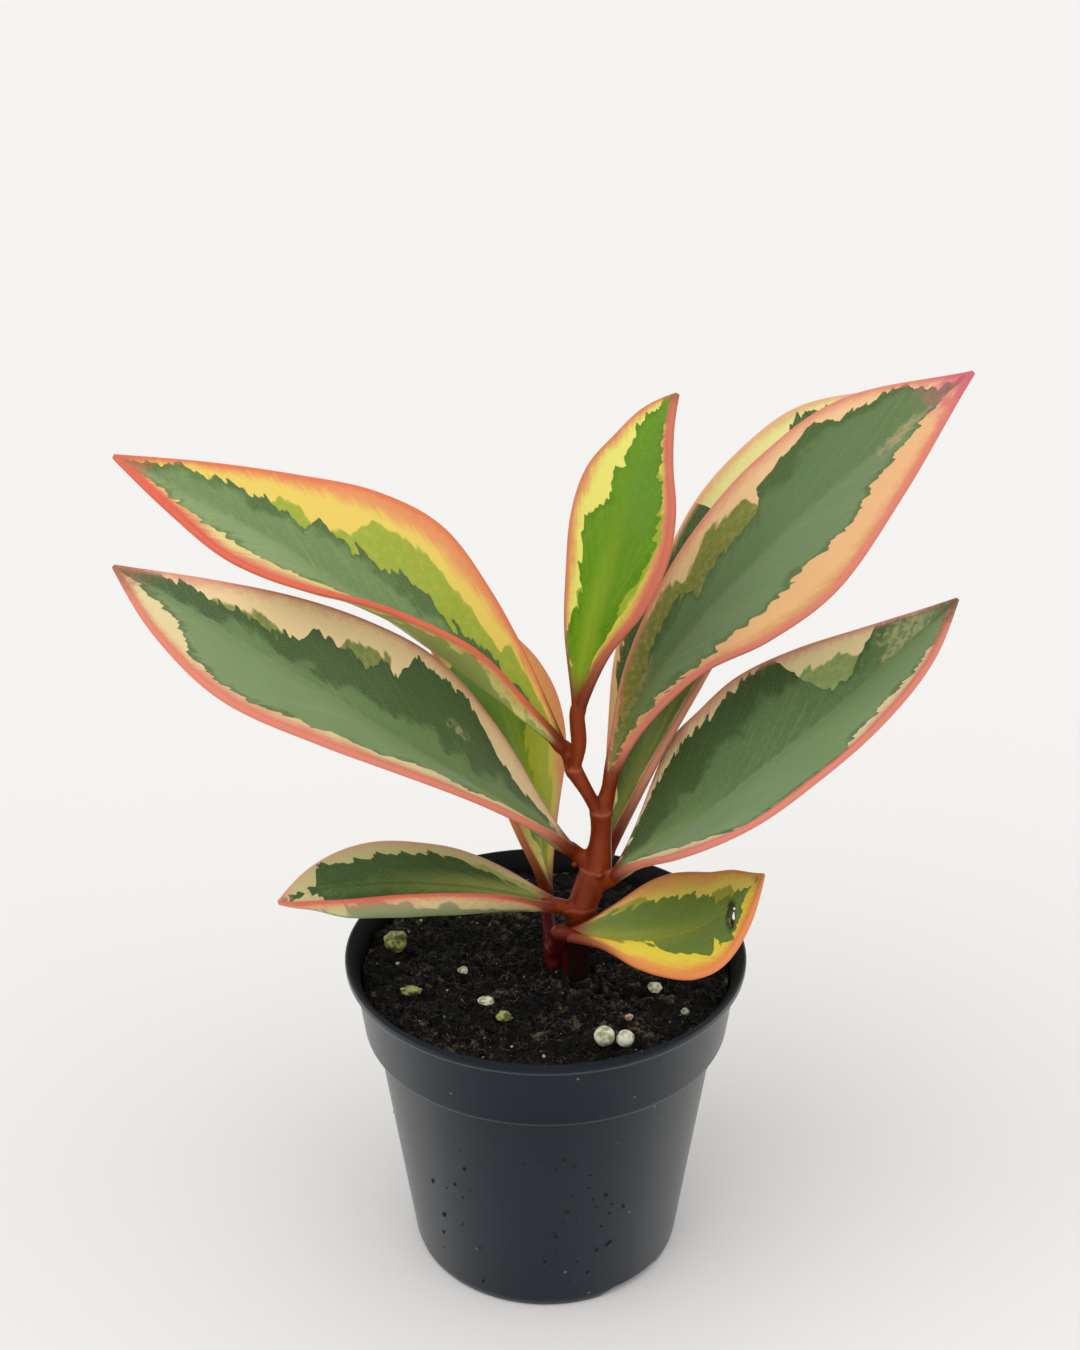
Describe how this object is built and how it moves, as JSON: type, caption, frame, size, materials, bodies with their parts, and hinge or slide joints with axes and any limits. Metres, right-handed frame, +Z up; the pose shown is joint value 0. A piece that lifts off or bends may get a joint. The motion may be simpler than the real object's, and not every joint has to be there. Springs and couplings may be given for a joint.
{
  "type": "potted peperomia",
  "caption": "Young potted peperomia with thick green, cream and coral leaves on red stems in a black plastic nursery pot.",
  "frame": {"origin": "centre of the pot's underside, on the surface that the pot stands on", "axes": "+Z up along the pot's axis, -Y towards the viewer of the picture, +X to the right"},
  "size_m": [0.1719, 0.0959, 0.2065],
  "materials": {
    "pot_plastic": "satin",
    "peat": "matte",
    "stem_skin": "satin",
    "leaf_skin": "satin",
    "olive_grain": "matte",
    "white_grain": "matte",
    "pink_grain": "matte",
    "clear_grain": "satin"
  },
  "bodies": {
    "root": {"pot": "pot_plastic", "soil": "peat", "stem": "stem_skin", "leaf_upper_left": "leaf_skin", "leaf_middle_left": "leaf_skin", "leaf_lower_left": "leaf_skin", "leaf_top": "leaf_skin", "leaf_upper_right": "leaf_skin", "leaf_back_right": "leaf_skin", "leaf_lower_right": "leaf_skin", "leaf_small_right": "leaf_skin", "leaf_back_left": "leaf_skin", "grain_left": "olive_grain", "grain_left_front": "olive_grain", "grain_front": "white_grain", "grain_front_low": "olive_grain", "bead_front": "white_grain", "bead_front_right": "white_grain", "grain_pink": "pink_grain", "grain_right": "white_grain", "grain_clear": "clear_grain", "grain_back": "white_grain"}
  },
  "joints": []
}
